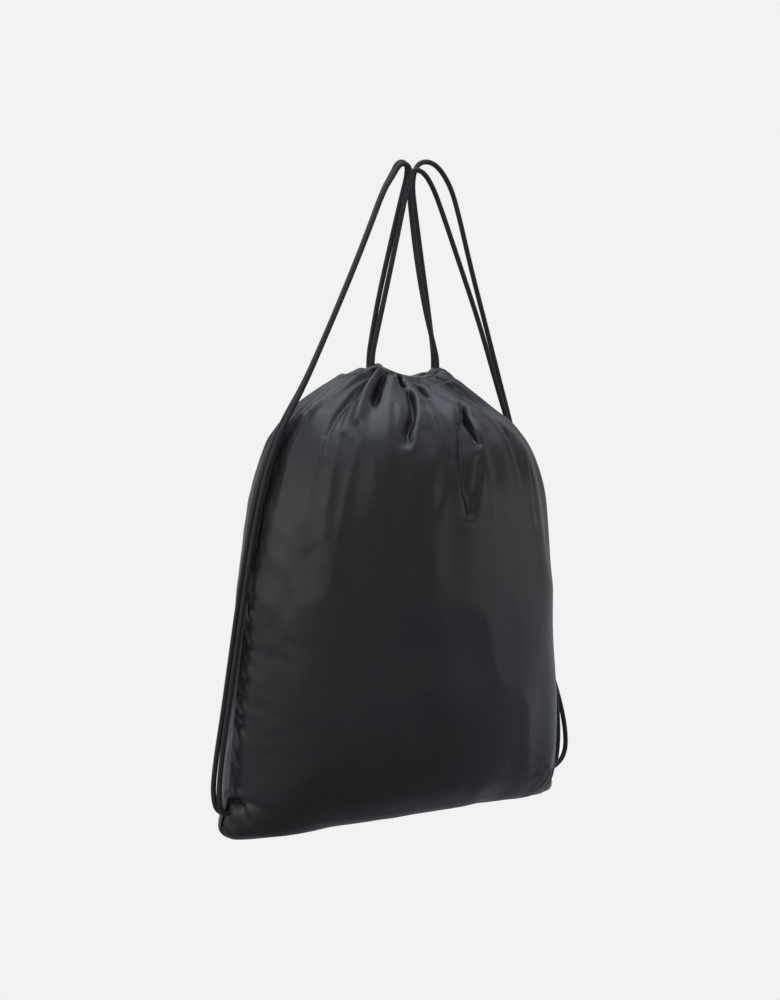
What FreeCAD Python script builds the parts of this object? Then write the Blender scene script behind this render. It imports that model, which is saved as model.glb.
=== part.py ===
import FreeCAD, Part
import math
import os
import Sketcher

# Drawstring backpack, stuffed full and hung up by its two drawstrings.
# Millimetres, +Z up, front panel towards -Y, the wearer's back towards +Y.
# The origin is the top of the hook that both drawstrings hang over: the bag lies below it.

doc = FreeCAD.newDocument("drawstring_backpack")

# ---------------------------------------------------------------- driving dimensions
# Heights are over the underside of the bag, which hangs "drop" below the hook.
SIZES = {
    "drop": 561.0,
    "cloth": 1.6,                # wall: the lining of wrinkles counts as cloth
    "over": 4.0,                 # how far cutting tools stand past the cloth
    "tool": 260.0,               # half size of the blocks that divide front from back
    "throat_width": 17.0,        # what the pulled hem leaves open, half sizes
    "throat_depth": 5.5,
    "throat_round": 4.5,
    "tunnel_out_width": 37.0,    # drawstring tunnel: a flat ring inside the hem
    "tunnel_out_depth": 17.4,
    "tunnel_out_round": 14.0,
    "tunnel_in_width": 22.5,
    "tunnel_in_depth": 8.6,
    "tunnel_in_round": 7.0,
    "tunnel_rise": 3.8,          # over the foot of the hem
    "tunnel_tall": 10.6,
    "slit_start": 29.5,          # side slit where a drawstring leaves the tunnel
    "slit_reach": 16.0,
    "slit_wide": 13.0,
    "allowance": 7.0,            # overlocked seam allowance inside the bag
    "allowance_thick": 1.6,
    "fold_long": 46.0,           # gathered folds: half sizes of each long hump
    "fold_wide": 8.0,
    "fold_tall": 8.5,
    "fold_rise": 4.6,            # how far it stands out of the cloth around it
    "cord": 4.5,
    "cord_out": 2.0,             # below the mouth, where a free cord meets its tunnel stretch
    "left_cord_level": 7.7,      # cord middles over the tunnel's floor
    "right_cord_level": 2.8,
    "corner_height": 12.0,       # middle of the opening low in each side seam
    "corner_tall": 5.4,
    "corner_wide": 10.6,
    "knot_inset": 11.6,          # side seam in to the knot's flattened face
    "knot_long": 6.2,
    "knot_wide": 7.6,
    "knot_face_angle": 45.0,
    "knot_room": 3.0,            # seam allowance trimmed away around the knot
}

# Horizontal sections of the full bag: height, half width, half depth, radius of its ends.
# The panels end and the gathered hem begins at "hem"; the last two stand that far above it.
SECTIONS = [
    ("base", 0.0, 156.0, 33.0, 22.0),
    ("heel", 4.0, 160.0, 45.0, 33.0),
    ("toe", 12.0, 161.5, 57.0, 44.0),
    ("lower", 30.0, 161.5, 73.0, 59.0),
    ("belly", 60.0, 159.5, 87.0, 70.0),
    ("girth", 100.0, 156.5, 96.0, 79.0),
    ("middle", 150.0, 151.5, 101.0, 85.0),
    ("waist", 200.0, 146.0, 106.0, 91.0),
    ("chest", 250.0, 139.0, 108.0, 94.0),
    ("shoulder", 290.0, 130.0, 108.0, 94.0),
    ("slope", 320.0, 119.0, 99.0, 82.0),
    ("collar", 342.0, 103.0, 80.0, 63.0),
    ("hem", 362.0, 78.0, 50.0, 40.0),
    ("lip", 14.0, 54.0, 32.0, 26.0),
    ("mouth", 25.0, 38.0, 20.0, 16.0),
]
LEVELS = [row[0] for row in SECTIONS]
ON_THE_HEM = ("lip", "mouth")

sheet = doc.addObject("Spreadsheet::Sheet", "dims")
cells = {}


def put(alias, value):
    """One driving dimension: its name, and beside it the cell that carries that name."""
    row = len(cells) + 1
    sheet.set("A%d" % row, alias)
    sheet.set("B%d" % row, str(value))
    sheet.setAlias("B%d" % row, alias)
    cells[alias] = value


for name, value in SIZES.items():
    put(name, value)
for level, height, half_width, half_depth, end_round in SECTIONS:
    put(level + ("_rise" if level in ON_THE_HEM else "_height"), height)
    put(level + "_width", half_width)
    put(level + "_depth", half_depth)
    put(level + "_round", end_round)
doc.recompute()


def value_of(terms):
    """Sum of named cells; a name after a minus sign counts against it."""
    total = 0.0
    for term in terms:
        total += -cells[term[1:]] if term.startswith("-") else cells[term]
    return total


def height_of(level):
    """Height of a level over the underside of the bag."""
    return ["hem_height", level + "_rise"] if level in ON_THE_HEM else [level + "_height"]


def minus(terms):
    """The same terms with every sign turned."""
    return [term[1:] if term.startswith("-") else "-" + term for term in terms]


def formula(terms):
    """The same sum as an expression on the sheet."""
    text = "0"
    for term in terms:
        negative = term.startswith("-")
        text += " - dims." + term[1:] if negative else " + dims." + term
    return "(" + text + ")"


# ---------------------------------------------------------------- construction helpers
def oval(name, shape, height, inset=()):
    """A flat oval of four tangent arcs with the sizes of one shape, made smaller by inset."""
    shrink = minus(inset)
    half_width = [shape + "_width"] + shrink
    half_depth = [shape + "_depth"] + shrink
    end_round = [shape + "_round"] + shrink
    a, b, r = value_of(half_width), value_of(half_depth), value_of(end_round)
    offset = ((a - r) ** 2 - (b - r) ** 2) / (2 * (b - r))
    turn = math.atan2(offset, a - r)
    sketch = doc.addObject("Sketcher::SketchObject", name)

    def arc(x, y, radius, start, end):
        circle = Part.Circle(FreeCAD.Vector(x, y, 0), FreeCAD.Vector(0, 0, 1), radius)
        return sketch.addGeometry(Part.ArcOfCircle(circle, start, end), False)

    right = arc(a - r, 0, r, -turn, turn)
    back = arc(0, -offset, offset + b, turn, math.pi - turn)
    left = arc(r - a, 0, r, math.pi - turn, math.pi + turn)
    front = arc(0, offset, offset + b, math.pi + turn, 2 * math.pi - turn)
    ring = [right, back, left, front]
    for first, second in zip(ring, ring[1:] + ring[:1]):
        sketch.addConstraint(Sketcher.Constraint("Tangent", first, 2, second, 1))
    x_axis, y_axis, centre = -1, -2, 3
    sketch.addConstraint(Sketcher.Constraint("PointOnObject", right, centre, x_axis))
    sketch.addConstraint(Sketcher.Constraint("PointOnObject", back, centre, y_axis))
    sketch.addConstraint(Sketcher.Constraint("PointOnObject", front, centre, y_axis))
    sketch.addConstraint(Sketcher.Constraint("Equal", right, left))
    sketch.addConstraint(Sketcher.Constraint("Equal", back, front))
    reach = sketch.addConstraint(Sketcher.Constraint("DistanceX", -1, 1, right, centre, a - r))
    small = sketch.addConstraint(Sketcher.Constraint("Radius", right, r))
    large = sketch.addConstraint(Sketcher.Constraint("Radius", back, offset + b))
    aa, bb, rr = formula(half_width), formula(half_depth), formula(end_round)
    sketch.setExpression("Constraints[%d]" % reach, aa + " - " + rr)
    sketch.setExpression("Constraints[%d]" % small, rr)
    sketch.setExpression("Constraints[%d]" % large,
                         "((%s-%s)^2-(%s-%s)^2)/(2*(%s-%s))+%s" % (aa, rr, bb, rr, bb, rr, bb))
    place(sketch, z=list(height) + ["-drop"])
    return sketch


def place(thing, **where):
    """Ties the position of an object to sums of named cells."""
    for axis, terms in where.items():
        if terms:
            thing.setExpression("Placement.Base." + axis, formula(terms))


def loft(name, sketches):
    body = doc.addObject("Part::Loft", name)
    body.Sections = sketches
    body.Solid = True
    body.Ruled = False
    return body


def slab(name, length, width, height, x, y, z):
    """A box; each size and place is a sum of named cells, none of them for nought."""
    box = doc.addObject("Part::Box", name)
    for prop, terms in (("Length", length), ("Width", width), ("Height", height)):
        box.setExpression(prop, formula(terms))
    place(box, x=x, y=y, z=z)
    return box


def cut(name, base, tool):
    result = doc.addObject("Part::Cut", name)
    result.Base, result.Tool = base, tool
    return result


def common(name, base, tool):
    result = doc.addObject("Part::Common", name)
    result.Base, result.Tool = base, tool
    return result


nodes = []


def node(thing, label):
    """Marks an object as a sub-part; its label names its file."""
    thing.Label = label
    nodes.append(thing)
    return thing


# ---------------------------------------------------------------- bag cloth
PANEL_LEVELS = LEVELS[:LEVELS.index("hem") + 1]
smooth_outside = loft("bag_outside", [
    oval("out_" + level, level, height_of(level)) for level in LEVELS])


def lining(name, inset):
    """A smaller bag inside the first, its floor raised by the same inset."""
    sketches = []
    for level in PANEL_LEVELS:
        height = height_of(level)
        if level in ("base", "heel"):
            height += inset
        sketches.append(oval(name + "_" + level, level, height, inset))
    return loft(name, sketches)


# Folds that the pulled hem gathers, as shares of the way from the left to the right seam.
GATHERED_FOLDS = {
    "front": (-0.80, -0.575, -0.385, -0.175, -0.02, 0.17, 0.37, 0.62),
    "back": (-0.78, -0.56, -0.34, -0.12, 0.11, 0.33, 0.55, 0.79),
}


def on_the_oval(level, share, side):
    """Point on the bag at one level and the horizontal way out there."""
    a, b, r = (cells[level + size] for size in ("_width", "_depth", "_round"))
    offset = ((a - r) ** 2 - (b - r) ** 2) / (2 * (b - r))
    turn = math.atan2(offset, a - r)
    end_length = r * turn
    total = 2 * end_length + (offset + b) * (math.pi - 2 * turn)
    run = (share + 1) / 2 * total
    if run < end_length:
        angle = math.pi + run / r
        centre, radius = FreeCAD.Vector(r - a, 0, 0), r
    elif run > total - end_length:
        angle = -(total - run) / r
        centre, radius = FreeCAD.Vector(a - r, 0, 0), r
    else:
        angle = math.pi + turn + (run - end_length) / (offset + b)
        centre, radius = FreeCAD.Vector(0, offset, 0), offset + b
    way = FreeCAD.Vector(math.cos(angle), math.sin(angle), 0)
    spot = centre + way * radius
    spot.z = value_of(height_of(level) + ["-drop"])
    if side == "back":
        spot.y, way.y = -spot.y, -way.y
    return spot, way


def gathered_fold(name, side, share, inset):
    """One long hump of cloth down the slope from the mouth, made smaller by inset."""
    foot, _ = on_the_oval("slope", share, side)
    head, _ = on_the_oval("mouth", share, side)
    low, way = on_the_oval("collar", share, side)
    high, _ = on_the_oval("hem", share, side)
    along = (head - foot).normalize()
    out = (way - along * way.dot(along)).normalize()
    sunk = cells["fold_tall"] - cells["fold_rise"]
    hump = doc.addObject("Part::Ellipsoid", name)
    for prop, size in (("Radius1", "fold_long"), ("Radius2", "fold_tall"), ("Radius3", "fold_wide")):
        hump.setExpression(prop, formula([size] + minus(inset)))
    turn = FreeCAD.Rotation(out, along.cross(out), along, "ZXY")
    hump.Placement = FreeCAD.Placement((low + high) * 0.5 - out * sunk, turn)
    return hump


def gathered(name, smooth, inset):
    """The smooth bag with its gathered folds."""
    humps = []
    for side, shares in GATHERED_FOLDS.items():
        for number, share in enumerate(shares):
            humps.append(gathered_fold("%s_%s_%d" % (name, side, number), side, share, inset))
    fused = doc.addObject("Part::MultiFuse", name)
    fused.Shapes = [smooth] + humps
    return fused


outside = gathered("outside_folds", smooth_outside, [])
inside = lining("bag_inside", ["cloth"])
inside_folded = gathered("inside_folds", inside, ["cloth"])
ALL_ROUND = ["tool", "tool"]

# The cords pass into the bag low in each side seam and are knotted inside.
corner_bar = slab("corner_openings", ALL_ROUND, ["corner_wide"], ["corner_tall"], ["-tool"], [], [])
corner_bar.setExpression("Placement.Base.y", "-dims.corner_wide / 2")
corner_bar.setExpression("Placement.Base.z", "dims.corner_height - dims.corner_tall / 2 - dims.drop")
wall = cut("bag_wall_open", cut("bag_wall", outside, inside_folded), corner_bar)


def half(name, side, foot, top):
    """A block over the front or the back half of the bag between two heights."""
    near = ["-tool"] if side == "front" else []
    tall = top + minus(foot)
    return slab(name, ALL_ROUND, ["tool"], tall, ["-tool"], near, foot + ["-drop"])


for side in ("front", "back"):
    block = half(side + "_block", side, ["-over"], ["hem_height"])
    node(common(side + "_cloth", wall, block), side + "_panel")

# ---------------------------------------------------------------- seam allowances inside
# The overlocked edges of both panels stand inward as one fin along the sides and the bottom,
# trimmed away round the corner openings.
inner = lining("bag_inside_fins", ["cloth", "allowance"])
fin_space = cut("fin_space", inside, inner)
BAY_TALL = ["corner_height", "knot_wide", "knot_room"]
BAY_REACH = ["lower_width", "-knot_inset", "-knot_long", "-knot_long", "-knot_room"]
left_bay = slab("left_bay", ["tool"], ALL_ROUND, BAY_TALL, ["-tool"] + minus(BAY_REACH),
                ["-tool"], ["-drop"])
right_bay = slab("right_bay", ["tool"], ALL_ROUND, BAY_TALL, BAY_REACH, ["-tool"], ["-drop"])
fin_space = cut("fin_space_open", cut("fin_space_left", fin_space, left_bay), right_bay)


def fin(label, x, length, foot, tall):
    """The stretch of the fin inside one block that is as thick as the seam allowance."""
    block = slab(label + "_block", length, ["allowance_thick"], tall, x, [], foot + ["-drop"])
    block.setExpression("Placement.Base.y", "-dims.allowance_thick / 2")
    return node(common(label + "_fin", fin_space, block), label)


FLOOR_TOP = ["cloth", "allowance"]
SIDE_TALL = ["hem_height"] + minus(FLOOR_TOP)
fin("bottom_seam", ["-tool"], ALL_ROUND, [], FLOOR_TOP)
fin("left_side_seam", ["-tool"], ["tool"], FLOOR_TOP, SIDE_TALL)
fin("right_side_seam", [], ["tool"], FLOOR_TOP, SIDE_TALL)

# ---------------------------------------------------------------- gathered hem
# Both top edges are folded over and stitched into a tunnel, here pulled shut by the cords.
throat = loft("throat", [
    oval("throat_low", "throat", ["hem_height", "-over"]),
    oval("throat_high", "throat", height_of("mouth") + ["over"]),
])
TUNNEL_FOOT = ["hem_height", "tunnel_rise"]
tunnel = cut("tunnel", loft("tunnel_outer", [
    oval("tunnel_out_low", "tunnel_out", TUNNEL_FOOT),
    oval("tunnel_out_high", "tunnel_out", TUNNEL_FOOT + ["tunnel_tall"]),
]), loft("tunnel_inner", [
    oval("tunnel_in_low", "tunnel_in", TUNNEL_FOOT + ["-over"]),
    oval("tunnel_in_high", "tunnel_in", TUNNEL_FOOT + ["tunnel_tall", "over"]),
]))


def slit(name, x):
    """The gap between the ends of the two hems, open at the top and outward."""
    tall = ["mouth_rise", "over", "-tunnel_rise"]
    box = slab(name, ["slit_reach"], ["slit_wide"], tall, x, [], TUNNEL_FOOT + ["-drop"])
    box.setExpression("Placement.Base.y", "-dims.slit_wide / 2")
    return box


left_slit = slit("left_slit", ["-slit_start", "-slit_reach"])
right_slit = slit("right_slit", ["slit_start"])
hem = cut("hem_open", outside, throat)
for number, tool in enumerate((tunnel, left_slit, right_slit)):
    hem = cut("hem_cut_%d" % number, hem, tool)
for side in ("front", "back"):
    block = half(side + "_hem_block", side, ["hem_height"], height_of("mouth"))
    node(common(side + "_hem", hem, block), side + "_casing")


# ---------------------------------------------------------------- knots
def knot(label, side):
    """The stopper knot that ties both ends of one drawstring inside its corner opening."""
    lump = doc.addObject("Part::Ellipsoid", label)
    lump.setExpression("Radius1", "dims.knot_long")
    lump.setExpression("Radius2", "dims.knot_wide")
    lump.setExpression("Radius3", "dims.knot_wide")
    lump.setExpression("Angle2", "dims.knot_face_angle")
    quarter = FreeCAD.Rotation(FreeCAD.Vector(0, 1, 0), side * 90)
    lump.Placement = FreeCAD.Placement(FreeCAD.Vector(0, 0, 0), quarter)
    centre = "(dims.lower_width - dims.knot_inset - dims.knot_long * sin(dims.knot_face_angle))"
    lump.setExpression("Placement.Base.x", ("" if side > 0 else "-") + centre)
    place(lump, z=["corner_height", "-drop"])
    return node(lump, label)


LEFT, RIGHT = -1, 1
knot("left_knot", LEFT)
knot("right_knot", RIGHT)

# ---------------------------------------------------------------- drawstrings
# Each drawstring is one braided cord: from its knot out through the corner opening, up and
# over the hook, down into the mouth, once round the tunnel and back the same way.
KNOT_FACE = cells["lower_width"] - cells["knot_inset"]
CORNER_Z = cells["corner_height"] - cells["drop"]
EXIT_X = 33.5
EXIT_Y = 2.9
EXIT_Z = value_of(height_of("mouth") + ["-drop", "-cord_out"])
LEFT_TUNNEL_Z = value_of(TUNNEL_FOOT + ["left_cord_level", "-drop"])
RIGHT_TUNNEL_Z = value_of(TUNNEL_FOOT + ["right_cord_level", "-drop"])

ROUTES = {
    "left_cord_front": [
        (-KNOT_FACE, -2.6, CORNER_Z), (-168.0, -2.6, CORNER_Z), (-171.4, -2.6, -529.0),
        (-168.6, -2.8, -498.0), (-164.0, -2.8, -464.0), (-158.3, -3.2, -422.0),
        (-152.4, -3.6, -378.0), (-146.6, -3.7, -336.0), (-139.2, -3.7, -294.0),
        (-129.6, -3.7, -256.0), (-116.8, -4.6, -226.0), (-99.8, -6.0, -194.0),
        (-80.2, -7.2, -150.0), (-58.6, -7.2, -102.0), (-41.8, -7.2, -62.0),
        (-27.6, -7.2, -26.0), (-18.2, -7.2, -11.8), (-11.4, -7.2, -0.6),
        (-2.2, -7.2, -1.4), (-1.4, -7.2, -11.8), (-4.5, -6.9, -24.0),
        (-13.3, -5.5, -69.0), (-22.8, -3.9, -116.0), (-31.4, -3.0, -156.0),
        (-EXIT_X, -EXIT_Y, -167.0), (-EXIT_X, -EXIT_Y, EXIT_Z),
    ],
    "left_cord_rear": [
        (-KNOT_FACE, 2.6, CORNER_Z), (-168.0, 2.6, CORNER_Z), (-174.4, 2.8, -531.0),
        (-171.0, 3.2, -500.0), (-165.6, 3.4, -466.0), (-160.0, 3.2, -424.0),
        (-154.0, 2.8, -378.0), (-147.6, 2.3, -334.0), (-139.8, 2.1, -290.0),
        (-129.0, 1.6, -252.0), (-115.4, 0.8, -223.0), (-98.2, -0.6, -194.0),
        (-78.2, -2.2, -150.0), (-56.6, -2.4, -101.0), (-39.8, -2.4, -61.0),
        (-25.8, -2.4, -25.0), (-17.0, -2.4, -10.2), (-10.6, -2.4, 2.0),
        (-1.4, -2.4, 1.0), (-1.6, -2.4, -9.8), (-6.0, -2.3, -26.0),
        (-16.6, -1.2, -71.0), (-26.4, 1.0, -118.0), (-32.2, 2.6, -156.0),
        (-EXIT_X, EXIT_Y, -167.0), (-EXIT_X, EXIT_Y, EXIT_Z),
    ],
    "right_cord_front": [
        (KNOT_FACE, -2.6, CORNER_Z), (164.0, -2.6, CORNER_Z), (177.6, -2.8, -547.0),
        (181.6, -2.8, -526.0), (180.6, -2.8, -498.0), (175.8, -2.8, -468.0),
        (167.0, -2.8, -430.0), (157.8, -2.8, -388.0), (150.6, -2.8, -340.0),
        (142.2, -2.6, -295.0), (130.6, -2.0, -254.0), (115.6, 0.0, -221.0),
        (101.2, 1.8, -181.0), (82.1, 2.4, -130.0), (59.6, 2.4, -80.0),
        (40.6, 2.4, -38.0), (29.4, 2.4, -15.0), (18.6, 2.4, -2.2),
        (6.8, 2.4, -1.6), (3.6, 2.4, -15.6), (6.4, 2.2, -40.0),
        (12.2, 0.4, -82.0), (20.6, -1.6, -124.0), (30.6, -2.8, -157.0),
        (EXIT_X, -EXIT_Y, -168.0), (EXIT_X, -EXIT_Y, EXIT_Z),
    ],
    "right_cord_rear": [
        (KNOT_FACE, 2.6, CORNER_Z), (166.0, 2.6, CORNER_Z), (184.0, 2.8, -547.6),
        (196.0, 2.8, -535.0), (194.6, 3.0, -510.0), (186.6, 3.2, -482.0),
        (174.0, 3.4, -450.0), (161.6, 3.4, -410.0), (153.2, 3.4, -362.0),
        (146.4, 3.2, -316.0), (137.6, 3.4, -272.0), (124.4, 5.0, -226.0),
        (109.2, 6.8, -179.0), (92.2, 7.2, -129.0), (75.2, 7.2, -81.0),
        (61.4, 7.2, -37.0), (50.8, 7.2, -9.0), (33.6, 7.2, 9.0),
        (15.0, 7.2, 6.4), (9.8, 7.2, -12.6), (13.8, 6.8, -38.0),
        (21.0, 5.6, -82.0), (27.6, 4.2, -122.0), (32.6, 3.1, -156.0),
        (EXIT_X, EXIT_Y, -167.0), (EXIT_X, EXIT_Y, EXIT_Z),
    ],
    "left_tunnel_cord": [
        (-EXIT_X, -EXIT_Y, EXIT_Z), (-EXIT_X, -EXIT_Y, LEFT_TUNNEL_Z),
        (-19.5, -12.4, LEFT_TUNNEL_Z), (0.0, -12.8, LEFT_TUNNEL_Z),
        (18.0, -12.0, LEFT_TUNNEL_Z), (27.6, -4.4, LEFT_TUNNEL_Z),
        (27.6, 4.4, LEFT_TUNNEL_Z), (18.0, 12.0, LEFT_TUNNEL_Z),
        (0.0, 12.8, LEFT_TUNNEL_Z), (-19.5, 12.4, LEFT_TUNNEL_Z),
        (-EXIT_X, EXIT_Y, LEFT_TUNNEL_Z), (-EXIT_X, EXIT_Y, EXIT_Z),
    ],
    "right_tunnel_cord": [
        (EXIT_X, -EXIT_Y, EXIT_Z), (EXIT_X, -EXIT_Y, RIGHT_TUNNEL_Z),
        (19.5, -12.4, RIGHT_TUNNEL_Z), (0.0, -12.8, RIGHT_TUNNEL_Z),
        (-18.0, -12.0, RIGHT_TUNNEL_Z), (-27.6, -4.4, RIGHT_TUNNEL_Z),
        (-27.6, 4.4, RIGHT_TUNNEL_Z), (-18.0, 12.0, RIGHT_TUNNEL_Z),
        (0.0, 12.8, RIGHT_TUNNEL_Z), (19.5, 12.4, RIGHT_TUNNEL_Z),
        (EXIT_X, EXIT_Y, RIGHT_TUNNEL_Z), (EXIT_X, EXIT_Y, EXIT_Z),
    ],
}
BEND_SHARE = 0.45    # of the shorter run beside a bend, taken up by its arc


def cord(label, points):
    """A round cord along straight runs joined by arcs as large as the runs allow."""
    spots = [FreeCAD.Vector(*point) for point in points]
    edges = []
    radii = []
    start = spots[0]
    for before, corner, after in zip(spots, spots[1:], spots[2:]):
        into = (corner - before).normalize()
        out = (after - corner).normalize()
        half_turn = into.getAngle(out) / 2
        tangent = BEND_SHARE * min((corner - before).Length, (after - corner).Length)
        radius = tangent / math.tan(half_turn)
        first, last = corner - into * tangent, corner + out * tangent
        crown = (first + last).multiply(0.5) - corner
        reach = radius / math.cos(half_turn) - radius
        middle = corner + crown.normalize() * reach
        edges.append(Part.LineSegment(start, first).toShape())
        edges.append(Part.Arc(first, middle, last).toShape())
        radii.append(round(radius, 1))
        start = last
    edges.append(Part.LineSegment(start, spots[-1]).toShape())
    length = sum(edge.Length for edge in edges)
    ring = Part.Circle(spots[0], (spots[1] - spots[0]).normalize(), cells["cord"] / 2)
    tube = Part.Wire(edges).makePipeShell([Part.Wire(ring.toShape())], True, True)
    thing = doc.addObject("Part::Feature", label)
    thing.Shape = tube
    expected = length * math.pi * (cells["cord"] / 2) ** 2
    print("%s: %.0f mm long, radii %s, volume %.4f of section times length"
          % (label, length, radii, tube.Volume / expected))
    return node(thing, label)


for label, points in ROUTES.items():
    cord(label, points)

# ---------------------------------------------------------------- build, test and write
doc.recompute()
for thing in doc.Objects:
    if "Invalid" in thing.State or "Error" in thing.State:
        raise RuntimeError("%s failed: %s" % (thing.Name, thing.State))
os.makedirs("parts", exist_ok=True)
for thing in nodes:
    if thing.Shape.isNull() or not thing.Shape.isValid():
        raise RuntimeError("%s has no valid shape" % thing.Label)
    print("%s: %d solids, volume %.0f" % (thing.Label, len(thing.Shape.Solids), thing.Shape.Volume))
    thing.Shape.exportStep("parts/%s.step" % thing.Label)
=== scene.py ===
import math
import bpy
import numpy as np
from mathutils import Matrix, Vector


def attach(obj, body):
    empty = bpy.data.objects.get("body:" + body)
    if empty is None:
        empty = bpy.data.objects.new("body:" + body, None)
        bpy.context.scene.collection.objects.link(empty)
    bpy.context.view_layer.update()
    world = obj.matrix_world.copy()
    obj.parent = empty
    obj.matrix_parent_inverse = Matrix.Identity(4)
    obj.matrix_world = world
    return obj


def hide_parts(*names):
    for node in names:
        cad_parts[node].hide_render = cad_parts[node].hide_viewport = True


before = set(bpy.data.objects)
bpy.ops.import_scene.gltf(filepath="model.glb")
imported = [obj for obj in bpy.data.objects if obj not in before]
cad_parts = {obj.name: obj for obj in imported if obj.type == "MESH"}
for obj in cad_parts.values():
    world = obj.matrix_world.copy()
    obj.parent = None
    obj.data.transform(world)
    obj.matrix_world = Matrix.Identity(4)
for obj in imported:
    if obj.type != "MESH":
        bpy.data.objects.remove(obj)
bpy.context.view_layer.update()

# Drawstring backpack of satin nylon, stuffed full and hung up by its two drawstrings.
# +Z up, front panel towards -Y. The origin is the top of the hook. The scene is in metres,
# and the routes, sections and folds below are in mm.

MM = 0.001

# ---------------------------------------------------------------- camera
CAMERA_PLACE = (-0.5982, -0.9424, -0.2545)
CAMERA_TURN = math.radians(31.92)      # to the right of straight ahead
CAMERA_TILT = math.radians(1.88)       # downwards
CAMERA_ROLL = math.radians(1.06)
LENS = 45.86

sight = Vector((math.sin(CAMERA_TURN) * math.cos(CAMERA_TILT),
                math.cos(CAMERA_TURN) * math.cos(CAMERA_TILT), -math.sin(CAMERA_TILT)))
level = Vector((math.cos(CAMERA_TURN), -math.sin(CAMERA_TURN), 0.0))
upright = level.cross(sight)
right = math.cos(CAMERA_ROLL) * level + math.sin(CAMERA_ROLL) * upright
up = math.cos(CAMERA_ROLL) * upright - math.sin(CAMERA_ROLL) * level
bpy.ops.object.camera_add()
camera = bpy.context.object
camera.name = "camera"
camera.matrix_world = Matrix((
    (right.x, up.x, -sight.x, CAMERA_PLACE[0]),
    (right.y, up.y, -sight.y, CAMERA_PLACE[1]),
    (right.z, up.z, -sight.z, CAMERA_PLACE[2]),
    (0.0, 0.0, 0.0, 1.0),
))
camera.data.lens = LENS
camera.data.sensor_width = 36.0
camera.data.clip_start = 0.02
camera.data.clip_end = 30.0
bpy.context.scene.camera = camera
bpy.context.scene.view_settings.view_transform = "Standard"


# ---------------------------------------------------------------- materials
def new_material(name):
    """An empty material with its Principled shader."""
    material = bpy.data.materials.new(name)
    material.use_nodes = True
    tree = material.node_tree
    shader = tree.nodes["Principled BSDF"]
    return material, tree, shader


def add_node(tree, kind, **settings):
    made = tree.nodes.new(kind)
    for key, value in settings.items():
        setattr(made, key, value)
    return made


def math_node(tree, operation, first, second=None, third=None):
    made = add_node(tree, "ShaderNodeMath", operation=operation)
    for slot_number, value in enumerate((first, second, third)):
        if value is None:
            continue
        if isinstance(value, (int, float)):
            made.inputs[slot_number].default_value = value
        else:
            tree.links.new(value, made.inputs[slot_number])
    return made.outputs[0]


def noise_node(tree, vector, scale, detail=2.0, roughness=0.5):
    made = add_node(tree, "ShaderNodeTexNoise")
    made.inputs["Scale"].default_value = scale
    made.inputs["Detail"].default_value = detail
    made.inputs["Roughness"].default_value = roughness
    tree.links.new(vector, made.inputs["Vector"])
    return made.outputs["Fac"]


def mix_colour(tree, factor, low, high):
    made = add_node(tree, "ShaderNodeMix", data_type="RGBA")
    tree.links.new(factor, made.inputs["Factor"])
    for name, value in (("A", low), ("B", high)):
        socket = [s for s in made.inputs if s.name == name and s.type == "RGBA"][0]
        if isinstance(value, tuple):
            socket.default_value = value
        else:
            tree.links.new(value, socket)
    return [s for s in made.outputs if s.type == "RGBA"][0]


def smooth_range(tree, value, start, end, low=0.0, high=1.0):
    """The value taken smoothly from low to high between start and end."""
    made = add_node(tree, "ShaderNodeMapRange", interpolation_type="SMOOTHSTEP")
    for name, number in (("From Min", start), ("From Max", end),
                         ("To Min", low), ("To Max", high)):
        made.inputs[name].default_value = number
    tree.links.new(value, made.inputs["Value"])
    return made.outputs["Result"]


def bump_node(tree, height, distance, strength, normal=None):
    made = add_node(tree, "ShaderNodeBump")
    made.inputs["Distance"].default_value = distance
    made.inputs["Strength"].default_value = strength
    tree.links.new(height, made.inputs["Height"])
    if normal is not None:
        tree.links.new(normal, made.inputs["Normal"])
    return made.outputs["Normal"]


HEM_LINE = 472.0        # run up the cloth where the casing is sewn down, mm
STITCH = 4.2            # one stitch, mm
THREAD_PAIR = 0.6       # two threads of the weave, mm
CROSSING = 2.5          # between the crossings of the braid's strands, mm
STRANDS = 8.0           # round the braid


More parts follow.
